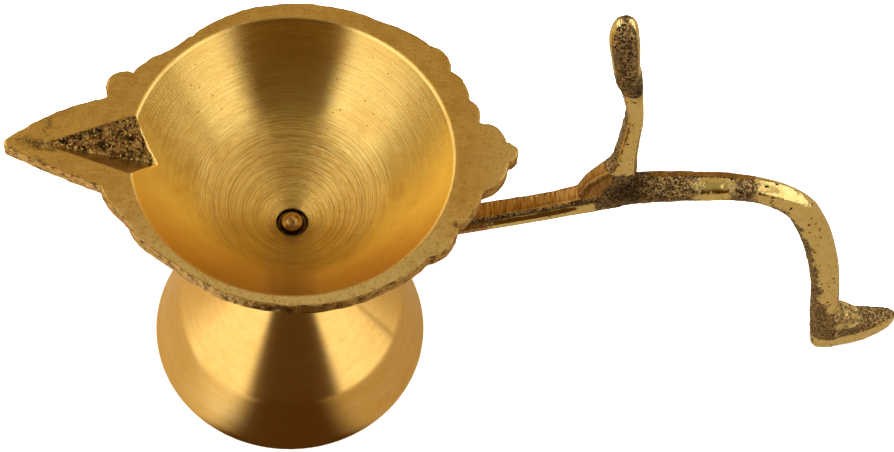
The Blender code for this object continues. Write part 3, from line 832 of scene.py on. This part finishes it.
sole_table = np.array(SOLE)
sole_share = np.concatenate([np.linspace(0, 0.1, 8), np.linspace(0.1, 0.9, 34)[1:],
                             np.linspace(0.9, 1, 8)[1:]])
near = np.interp(sole_share, sole_table[:, 0], sole_table[:, 1])
far = np.interp(sole_share, sole_table[:, 0], sole_table[:, 2])
half_turn = np.linspace(0, math.pi, SOLE_RING)
sole_side = np.sign(np.cos(half_turn)) * np.abs(np.cos(half_turn)) ** (2 / SOLE_SQUARENESS)
sole_up = np.abs(np.sin(half_turn)) ** (2 / SOLE_SQUARENESS)
sole_tall = SOLE_THICK * np.interp(sole_share, *np.array(SOLE_TALL).T)
sole_points = np.stack([
    np.repeat((HEEL_X + SOLE_LENGTH * sole_share)[:, None], SOLE_RING, 1),
    ((near + far) / 2)[:, None] + ((far - near) / 2)[:, None] * sole_side,
    sole_tall[:, None] * sole_up], -1)
sole_solid = (sole_points.reshape(-1, 3), tube_faces(len(sole_share), SOLE_RING))

eye_line = softened([
    (HOLE_R, EYE_Z - EYE_THICK / 2, 0.2), (EYE_R, EYE_Z - EYE_THICK / 2, 0.5),
    (EYE_R, EYE_Z + EYE_THICK / 2, 0.5), (HOLE_R, EYE_Z + EYE_THICK / 2, 0.2)], 3)
eye_solid = (turned_points(eye_line, EYE_STEPS), loop_faces(len(eye_line), EYE_STEPS).tolist())

all_points = []
all_faces = []
for solid_points, solid_faces in (arm_solid, horn_solid, sole_solid, eye_solid):
    first = sum(len(p) for p in all_points)
    all_points.append(solid_points)
    all_faces += [[first + corner for corner in face] for face in solid_faces]
rough_handle = add_piece("handle_blank", np.concatenate(all_points), all_faces)
remesh = rough_handle.modifiers.new("one casting", "REMESH")
remesh.mode = "VOXEL"
remesh.voxel_size = CAST_VOXEL * MM
settle = rough_handle.modifiers.new("settled skin", "SMOOTH")
settle.factor = 0.5
settle.iterations = 4
graph = bpy.context.evaluated_depsgraph_get()
cast_mesh = bpy.data.meshes.new_from_object(rough_handle.evaluated_get(graph))
bpy.data.objects.remove(rough_handle)
handle = bpy.data.objects.new("cast_handle", cast_mesh)
cast_mesh.name = "cast_handle"
bpy.context.scene.collection.objects.link(handle)


def nearest_station(points, route):
    """For each point the nearest station, its distance, and the two section coordinates."""
    flat = points[:, [0, 2]]
    best = np.full(len(points), 1e9)
    index = np.zeros(len(points), int)
    for number, station in enumerate(route):
        gap = (flat[:, 0] - station[0]) ** 2 + (flat[:, 1] - station[1]) ** 2
        closer = gap < best
        best[closer] = gap[closer]
        index[closer] = number
    _, across = bar_frame(route)
    offset = ((flat - route[index, :2]) * across[index]).sum(1)
    return index, np.sqrt(best), offset / (route[index, 2] / 2), points[:, 1] / (
        route[index, 3] / 2)


cast_points, cast_normals = points_of(handle)
arm_index, arm_gap, arm_up, arm_side = nearest_station(cast_points, arm_route)
_, horn_gap, horn_up, horn_side = nearest_station(cast_points, horn_route)
arm_length = np.concatenate([[0], np.cumsum(np.hypot(*np.diff(arm_route[:, :2], axis=0).T))])
x, y, z = cast_points.T
arm_reach = arm_length[arm_index]
rise_on_horn = z - fork_z
ragged = 0.5 * rough_skin(cast_points, 2.2, 51)
is_horn = smooth_step(horn_gap - arm_gap, 0.3, -0.3) * smooth_step(rise_on_horn, 2.2, 3.6)
is_sole = smooth_step(x, HEEL_X + 4.0, HEEL_X + 5.2) * smooth_step(-z, -8.5, -6.5)
is_sole = np.maximum(is_sole, smooth_step(-z, -4.6, -3.6) * (x > HEEL_X - 3))
is_arm = (1 - is_horn) * (1 - is_sole)
normal_x, normal_y, normal_z = cast_normals.T

on_front_arm = is_arm * (1 - smooth_step(x + 2 * ragged, 56, 60))
top_face = smooth_step(arm_up, 0.78, 0.95)
filed_top = top_face * on_front_arm * smooth_step(x, 10, 16)
low_side = smooth_step(-arm_up + 0.15 * ragged, -0.55, -0.30)
low_brown = on_front_arm * low_side * (1 - smooth_step(x + 4 * ragged, 36, 44))
# Wear and painted highlight: bright polished brass where the handle is rubbed, also placed where
# highlights fall, on the elbow and upper leg (brighter higher up), the horn's front and right
# faces, the bulb's rim and the sole's faces towards the front and the toe.
wear_and_highlight = on_front_arm * low_side * smooth_step(x + 4 * ragged, 34, 42)
seam_line = on_front_arm * np.exp(-((arm_up - 0.52) / 0.14) ** 2) * smooth_step(-arm_side, 0.5, 0.8)

rear = is_arm * smooth_step(x, 60, 64)
outer = smooth_step(arm_up + 0.9 * ragged, -1.1, 0.1)
patch = np.exp(-((x - 80) / 5.0) ** 2) * smooth_step(-arm_side, -0.3, 0.0)
elbow = smooth_step(x, 86, 91) * outer
ankle = 1 - smooth_step(-z, -13.5, -9.5)
shaft = elbow * ankle * (0.30 + 0.70 * smooth_step(z + 8 * ragged + 5 * arm_up, 14, 28))
wear_and_highlight = wear_and_highlight + rear * np.clip(0.8 * patch + np.where(x > 84, shaft, 0), 0, 1)
low_shaft = rear * smooth_step(x, 96, 100) * smooth_step(arm_up + 0.6 * ragged, 0.2, 0.7)
wear_and_highlight = wear_and_highlight + 0.5 * low_shaft * (1 - ankle)

front_face = smooth_step(-horn_side + 0.2 * ragged, 0.45, 0.85)
right_face = smooth_step(horn_up * -1 + 0.3 * ragged, 0.3, 0.7)
waist = smooth_step(rise_on_horn, 9, 14) * (1 - smooth_step(rise_on_horn, 37, 40))
wear_and_highlight = wear_and_highlight + is_horn * waist * np.clip(
    smooth_step(right_face + front_face, 0.3, 0.9) - 0.8 * np.exp(-((horn_side + 0.5) / 0.25) ** 2)
    * smooth_step(-rise_on_horn, -24, -20) * (ragged > -0.1), 0, 1)
bulb_rim = smooth_step(rise_on_horn, 43, 45) * smooth_step(
    np.abs(horn_up) + 0.12 * ragged, 0.72, 0.92)
wear_and_highlight = wear_and_highlight + is_horn * 0.9 * bulb_rim
sole_wear_highlight = is_sole * np.clip(smooth_step(-normal_y, 0.35, 0.75) + smooth_step(
    normal_x, 0.6, 0.9), 0, 1) * smooth_step(z, 0.1, 0.5) * smooth_step(-z, -5.4, -3.8)
wear_and_highlight = np.clip(wear_and_highlight + sole_wear_highlight, 0, 1)
crotch = np.exp(-(((x - 63.5) / 4.5) ** 2 + ((rise_on_horn - 5.0) / 4.5) ** 2))
wear_and_highlight = wear_and_highlight * (1 - 0.9 * crotch)
filed_rear = rear * smooth_step(arm_up, 0.4, 0.7) * smooth_step(arm_side, 0.05, 0.35) * (
    1 - smooth_step(x, 84, 94)) * smooth_step(x, 62, 65)
horn_foot = is_horn * smooth_step(-rise_on_horn + 2 * ragged, -13, -10) * smooth_step(
    -x + 2 * ragged, -FORK_X - 3, -FORK_X)
filed_sole = is_sole * smooth_step(normal_z, 0.75, 0.95)
filed_flat = np.clip(filed_top + low_brown + horn_foot + 0.8 * filed_rear + 0.3 * filed_sole, 0, 1)
filed_flat = filed_flat * (1 - crotch)
# Painted shade: the mask below darkens the fork's crotch, a line along the groove on the front
# arm's front side, and the horn's neck under its bulb on the side facing the leg.
crease_shade = np.clip(crotch + 0.8 * seam_line + is_horn * np.exp(-((rise_on_horn - 40.5) / 2.6) ** 2)
               * smooth_step(normal_x, 0.0, 0.6), 0, 1)
at_eye = 1 - smooth_step(np.hypot(x, y), EYE_R + 1.0, EYE_R + 4.0)
filed_flat = np.maximum(filed_flat, at_eye)

cast_depth = np.clip(1 - wear_and_highlight * 0.92 - filed_flat * 0.8, 0.05, 1) * (1 - at_eye)
lift = rough_skin(cast_points, 1.25, 61) * 0.20 * cast_depth - 0.06 * cast_depth
pitted = smooth_step(grain(cast_points, 1.3, 71), 0.5, 0.8)
lift -= 0.18 * pitted * np.clip(cast_depth + 0.15, 0, 1) * (1 - at_eye)
cross_cut = np.sin(arm_reach * 2 * math.pi / 1.15 + 2.5 * grain(cast_points, 6.0, 81))
lift += 0.05 * cross_cut * filed_top * (1 - at_eye)
cast_points = cast_points + cast_normals * lift[:, None]
cast_points[:, 2] = np.clip(cast_points[:, 2], 0.0, handle_high.z)
cast_points[:, 0] = np.minimum(cast_points[:, 0], handle_high.x - AXIS_X)
move_points(handle, cast_points)
cast_mesh.shade_smooth()
mark(handle, "wear_and_highlight", wear_and_highlight)
mark(handle, "filed", filed_flat)
mark(handle, "crease_shade", crease_shade)

DIRT_DARK = colour(0.13, 0.075, 0.035)
DIRT_GOLD = colour(0.74, 0.53, 0.25)
GRIT_BLACK = colour(0.035, 0.02, 0.01)
FLECK_GOLD = colour(0.97, 0.84, 0.52)
# Pale gold of the rubbed brass, which also serves as painted highlight.
WEAR_HIGHLIGHT_GOLD = colour(0.95, 0.83, 0.42)
WEAR_HIGHLIGHT_DIM = colour(0.87, 0.71, 0.30)
FILED_DARK = colour(0.34, 0.17, 0.045)
FILED_GOLD = colour(0.68, 0.42, 0.14)
handle_finish = Finish("cast_handle_brass")
place = handle_finish.place()
wear_highlight_mask = handle_finish.masked("wear_and_highlight")
filed_mask = handle_finish.masked("filed")
crease_shade_mask = handle_finish.masked("crease_shade")
lumps, sand, cast_relief = skin_layers(handle_finish, place, 0.80)
breaking = handle_finish.noise(place, 1.4, 4.0, 0.6)
breaking = handle_finish.sums("SUBTRACT", breaking, 0.5)
wear_highlight_mask = handle_finish.scaled(breaking, 1.2, wear_highlight_mask)
wear_highlight_mask = handle_finish.fade(wear_highlight_mask, 0.34, 0.62)
filed_mask = handle_finish.scaled(breaking, 0.7, filed_mask)
filed_mask = handle_finish.fade(filed_mask, 0.34, 0.60)
bare = handle_finish.sums("MAXIMUM", wear_highlight_mask, filed_mask)
file_place = handle_finish.put("Mapping", {"Vector": place, "Scale": (3.2, 0.3, 0.6)})
file_marks = handle_finish.noise(file_place, 1.0, 3.0, 0.65)
polish_marks = handle_finish.noise(place, 2.4, 3.0, 0.6)
smooth_relief = handle_finish.blended(filed_mask, handle_finish.sums(
    "MULTIPLY", polish_marks, 0.30), handle_finish.sums("MULTIPLY", file_marks, 0.30))
relief = handle_finish.blended(bare, cast_relief, smooth_relief)
handle_finish.shape(relief, 0.34)
grit = handle_finish.noise(place, 0.42, 3.0, 0.6)
dirt = handle_finish.mixed(handle_finish.fade(lumps, 0.40, 0.60), DIRT_DARK, DIRT_GOLD)
dirt = handle_finish.mixed(handle_finish.fade(grit, 0.53, 0.46), dirt, GRIT_BLACK)
flecks = handle_finish.fade(sand, 0.55, 0.64)
dirt = handle_finish.mixed(handle_finish.sums("MULTIPLY", flecks, 0.85), dirt, FLECK_GOLD)
wear_highlight_tone = handle_finish.mixed(handle_finish.fade(polish_marks, 0.35, 0.70), WEAR_HIGHLIGHT_GOLD, WEAR_HIGHLIGHT_DIM)
filed_tone = handle_finish.mixed(handle_finish.fade(file_marks, 0.35, 0.65), FILED_DARK, FILED_GOLD)
tone = handle_finish.mixed(filed_mask, dirt, filed_tone)
dents = handle_finish.noise(place, 0.9, 2.0, 0.5)
wear_highlight_tone = handle_finish.mixed(handle_finish.fade(dents, 0.64, 0.69), wear_highlight_tone, SOOT_AND_SHADE)
tone = handle_finish.mixed(wear_highlight_mask, tone, wear_highlight_tone)
# Near-black painted shade in those creases.
tone = handle_finish.mixed(handle_finish.sums("MULTIPLY", crease_shade_mask, 0.85), tone, SOOT_AND_SHADE)
handle_finish.join("Base Color", tone)
gloss = handle_finish.blended(wear_highlight_mask, 0.36, 0.14)
handle_finish.join("Roughness", gloss)
cast_mesh.materials.clear()
cast_mesh.materials.append(handle_finish.material)
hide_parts("handle")
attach(handle, "root")

# STUD, WASHER AND NUT
# A domed brass stud drops through bowl, handle eye and foot; a washer and a six-sided nut in
# the hollow of the foot pull the three together.
SHANK_R = 1.6
HEAD_R = (stud_high.x - stud_low.x) / 2
HEAD_Z = seat_z + GAP
THREAD_PITCH = 0.7
dome = [(HEAD_R * math.cos(turn), HEAD_Z + (stud_high.z - HEAD_Z) * math.sin(turn), 0.0)
        for turn in np.linspace(0.12, math.pi / 2 * 0.985, 22)]
thread = []
level = stud_low.z + 0.5
while level < web_z + 2.0:
    thread += [(SHANK_R - 0.02, level + THREAD_PITCH / 2, 0.0), (SHANK_R - 0.3, level, 0.0)]
    level += THREAD_PITCH
stud_line = softened([(0.05, stud_low.z, 0.0), (SHANK_R - 0.5, stud_low.z, 0.2)]
                     + sorted(thread, key=lambda corner: corner[1])
                     + [(SHANK_R, web_z + 3.0, 0.0), (SHANK_R, HEAD_Z, 0.1),
                        (HEAD_R - 0.05, HEAD_Z, 0.1)] + dome + [(0.05, stud_high.z, 0.0)])
stud = turned_piece("dome_head_stud", stud_line, 96)
STUD_GOLD = colour(0.80, 0.53, 0.19)
STUD_HAZE = colour(0.36, 0.21, 0.08)
STUD_SPECK = colour(0.75, 0.68, 0.55)
STUD_PAINTED_SHADE = colour(0.10, 0.05, 0.02)
stud_finish = Finish("stud_brass_tarnished")
place = stud_finish.place()
haze = stud_finish.noise(place, 1.2, 4.0, 0.6)
speck = stud_finish.noise(place, 0.35, 2.0, 0.6)
stud_finish.shape(stud_finish.scaled(speck, 0.3, haze), 0.025)
tone = stud_finish.mixed(stud_finish.fade(haze, 0.4, 0.65), STUD_GOLD, STUD_HAZE)
tone = stud_finish.mixed(stud_finish.part(speck, 0.60, 0.72, 0.5), tone, STUD_SPECK)
stud_parts = stud_finish.split(place)
# Painted shade: darker towards the foot of the dome, and fully dark below it on the shank, washer
# and nut.
dome_foot_shade = stud_finish.fade(stud_parts[2], HEAD_Z + 1.5, HEAD_Z + 0.7)
tone = stud_finish.mixed(dome_foot_shade, tone, STUD_PAINTED_SHADE)
stud_finish.join("Base Color", tone)
stud_finish.join("Roughness", stud_finish.blended(stud_finish.fade(haze, 0.4, 0.7), 0.10, 0.24))

washer_low, washer_high = (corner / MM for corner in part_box("washer"))
washer_r = (washer_high.x - washer_low.x) / 2
washer = turned_piece("flat_washer", softened([
    (HOLE_R, washer_low.z, 0.15), (washer_r, washer_low.z, 0.2),
    (washer_r, washer_high.z, 0.2), (HOLE_R, washer_high.z, 0.15)], 3), 120)

nut_low, nut_high = (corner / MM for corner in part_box("nut"))
NUT_FLATS = nut_high.y - nut_low.y
NUT_STEPS = 144
nut_turn = np.arange(NUT_STEPS) / NUT_STEPS * 2 * math.pi
flat_turn = (nut_turn + math.pi / 6) % (math.pi / 3) - math.pi / 6
hex_r = NUT_FLATS / 2 / np.cos(np.abs(np.abs(flat_turn) - math.pi / 6))
nut_rows = []
chamfer_start = NUT_FLATS / 2 * 0.97
for share, end_z, turn_up in ((0, nut_low.z, 1), (1, nut_high.z, -1)):
    ring = []
    for part in (0.0, 0.35, 0.7, 1.0):
        radius = chamfer_start + (hex_r - chamfer_start) * part
        drop = np.maximum(radius - chamfer_start, 0) * math.tan(math.radians(30))
        ring.append((radius, end_z + turn_up * drop))
    inner = [(np.full(NUT_STEPS, HOLE_R), np.full(NUT_STEPS, end_z + turn_up * 0.3)),
             (np.full(NUT_STEPS, HOLE_R + 0.3), np.full(NUT_STEPS, end_z))]
    nut_rows += (inner + ring) if share == 0 else (inner + ring)[::-1]
nut_points = np.concatenate([np.stack([radius * np.cos(nut_turn), radius * np.sin(nut_turn),
                                       height], 1) for radius, height in nut_rows])
nut = add_piece("hex_nut", nut_points, loop_faces(len(nut_rows), NUT_STEPS).tolist(), 30.0)
for piece, node in ((stud, "stud"), (washer, "washer"), (nut, "nut")):
    piece.data.materials.append(stud_finish.material)
    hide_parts(node)
    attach(piece, "root")

# STUDIO
# Soft boxes at both sides, a darker room between them and a high glow are painted on the world
# by direction. The camera looks down from the front and sees a white world and a pale floor;
# reflections see the soft boxes, the room and a glow painted on the floor with painted shade in
# front.
LENS = 80.54
CAMERA_AWAY = 386.2
LOOK_DOWN = math.radians(60.59)
ROLL = math.radians(-8.69)
heading = Vector((0.1440, 0.9896, 0.0)).normalized()
sideways = Vector((heading.y, -heading.x, 0.0))
forward = heading * math.cos(LOOK_DOWN) + Vector((0, 0, -math.sin(LOOK_DOWN)))
upright = heading * math.sin(LOOK_DOWN) + Vector((0, 0, math.cos(LOOK_DOWN)))
image_right = sideways * math.cos(ROLL) - upright * math.sin(ROLL)
image_up = sideways * math.sin(ROLL) + upright * math.cos(ROLL)
target = Vector((AXIS_X + 29.9, -4.35, 54.2))
stand = (target - forward * CAMERA_AWAY) * MM
turned = Matrix((image_right, image_up, -forward)).transposed()
camera_data = bpy.data.cameras.new("camera")
camera_data.lens = LENS
camera_data.sensor_width = 36.0
camera_data.clip_start = 0.01
camera_data.clip_end = 50.0
camera = bpy.data.objects.new("camera", camera_data)
camera.matrix_world = Matrix.Translation(stand) @ turned.to_4x4()
bpy.context.scene.collection.objects.link(camera)
bpy.context.scene.camera = camera

FLOOR_HALF = 3.0
FLOOR_LEFT = colour(0.64, 0.46, 0.25)
FLOOR_RIGHT = colour(0.48, 0.34, 0.18)
FLOOR_BRIGHT = colour(1.00, 0.86, 0.66)
ROOM_FRONT = colour(0.078, 0.033, 0.008)
ROOM_BACK = colour(0.30, 0.19, 0.08)
CEILING = colour(0.33, 0.255, 0.13)
HIGH_GLOW = colour(1.10, 0.90, 0.60)
BACK_GLOW = colour(0.47, 0.335, 0.15)
SOFTBOX = colour(1.34, 1.15, 0.86)
floor_mesh = bpy.data.meshes.new("floor")
floor_corners = [(-FLOOR_HALF, -FLOOR_HALF, 0), (FLOOR_HALF, -FLOOR_HALF, 0),
                 (FLOOR_HALF, FLOOR_HALF, 0), (-FLOOR_HALF, FLOOR_HALF, 0)]
floor_mesh.from_pydata(floor_corners, [], [(0, 1, 2, 3)])
floor = bpy.data.objects.new("floor", floor_mesh)
floor.location.z = -0.0001
bpy.context.scene.collection.objects.link(floor)
floor_finish = Finish("pale_floor")
floor_finish.shader.inputs["Metallic"].default_value = 0.0
floor_finish.shader.inputs["Roughness"].default_value = 0.9
floor_finish.shader.inputs["Specular IOR Level"].default_value = 0.0
floor_finish.shader.inputs["Base Color"].default_value = colour(0.90, 0.89, 0.87)
floor_place = floor_finish.place()
left_right, near_far, _ = floor_finish.split(floor_place)
# Painted light seen only in reflections: the floor glows lighter to the left and brightest to the
# front left, with painted dark shade in front of the lamp.
turned_off = floor_finish.scaled(near_far, -1.0, 12.0)
spread = floor_finish.sums("DIVIDE", floor_finish.sums("ABSOLUTE", left_right), turned_off)
to_side = floor_finish.fade(spread, 0.30, 0.62)
in_front = floor_finish.fade(near_far, 4.0, -18.0)
shade = floor_finish.sums("MULTIPLY", in_front, floor_finish.sums("SUBTRACT", 1.0, to_side))
left = floor_finish.fade(left_right, 30.0, -30.0)
front_left = floor_finish.sums("MULTIPLY", left, floor_finish.fade(near_far, -15.0, -45.0))
glow = floor_finish.mixed(left, FLOOR_RIGHT, FLOOR_LEFT)
glow = floor_finish.mixed(front_left, glow, FLOOR_BRIGHT)
glow = floor_finish.mixed(shade, glow, ROOM_FRONT)
reflected = floor_finish.put("Emission", {"Color": glow, "Strength": 1.0})
ray = floor_finish.put("LightPath", {}, output=3)
surface = floor_finish.tree.nodes["Material Output"].inputs["Surface"]
shown = floor_finish.put("MixShader", {0: ray, 1: floor_finish.shader.outputs[0], 2: reflected})
floor_finish.tree.links.new(shown, surface)
floor_mesh.materials.append(floor_finish.material)

world = bpy.data.worlds.new("studio")
world.use_nodes = True
bpy.context.scene.world = world
tree = world.node_tree


def world_node(kind, inputs, output=0, **settings):
    return add_node(tree, kind, inputs, output, **settings)


def world_fade(value, low, high, start=0.0, end=1.0):
    inputs = {"Value": value, "From Min": low, "From Max": high, "To Min": start, "To Max": end}
    return world_node("MapRange", inputs, interpolation_type="SMOOTHSTEP")


def world_sums(operation, first, second):
    return world_node("Math", {0: first, 1: second}, operation=operation)


way = world_node("TexCoord", {})
to_right, to_back, to_top = split_vector(tree, way)
level = world_node("CombineXYZ", {0: to_right, 1: to_back})
level = world_node("VectorMath", {0: level}, operation="NORMALIZE")
level_parts = split_vector(tree, level)
right_side = world_fade(level_parts[0], 0.57, 0.70)
left_side = world_fade(level_parts[0], -0.45, -0.60)
sides = world_sums("MAXIMUM", right_side, left_side)
box_low = world_fade(to_top, -0.12, -0.04)
right_high = world_fade(to_top, 0.66, 0.44)
left_high = world_fade(to_top, 0.76, 0.58)
on_right = world_sums("GREATER_THAN", to_right, 0.0)
box_high = world_node("Mix", {0: on_right, 2: left_high, 3: right_high}, data_type="FLOAT")
softboxes = world_sums("MULTIPLY", world_sums("MULTIPLY", sides, box_low), box_high)


def world_mix(factor, first, second):
    return world_node("Mix", {0: factor, 6: first, 7: second}, 2, data_type="RGBA")


room = world_mix(world_fade(to_back, -0.35, 0.35), ROOM_FRONT, ROOM_BACK)
room = world_mix(world_fade(to_top, 0.35, 0.85), room, CEILING)
back_glow = world_sums("MULTIPLY", world_fade(to_back, 0.1, 0.35), world_fade(to_top, 0.6, 0.8))
room = world_mix(back_glow, room, BACK_GLOW)
apart = world_fade(world_sums("ABSOLUTE", to_right, 0.0), 0.40, 0.54)
high_glow = world_sums("MULTIPLY", apart, world_fade(to_top, 0.55, 0.75))
room = world_mix(high_glow, room, HIGH_GLOW)
lit = world_mix(softboxes, room, SOFTBOX)
background = tree.nodes["Background"]
tree.links.new(lit, background.inputs["Color"])
background.inputs["Strength"].default_value = 1.0
plain = world_node("Background", {"Color": colour(1.0, 1.0, 1.0), "Strength": 1.0})
seen = world_node("LightPath", {})
mixed_sky = world_node("MixShader", {0: seen, 1: background.outputs[0], 2: plain})
tree.links.new(mixed_sky, tree.nodes["World Output"].inputs["Surface"])

lamp_data = bpy.data.lights.new("overhead softbox", "AREA")
lamp_data.shape = "DISK"
lamp_data.size = 1.4
lamp_data.energy = 80.0
lamp = bpy.data.objects.new("overhead softbox", lamp_data)
lamp.location = (0.0, 0.0, 1.6)
lamp.visible_glossy = False
lamp.visible_camera = False
bpy.context.scene.collection.objects.link(lamp)
bpy.context.scene.view_settings.view_transform = "Standard"
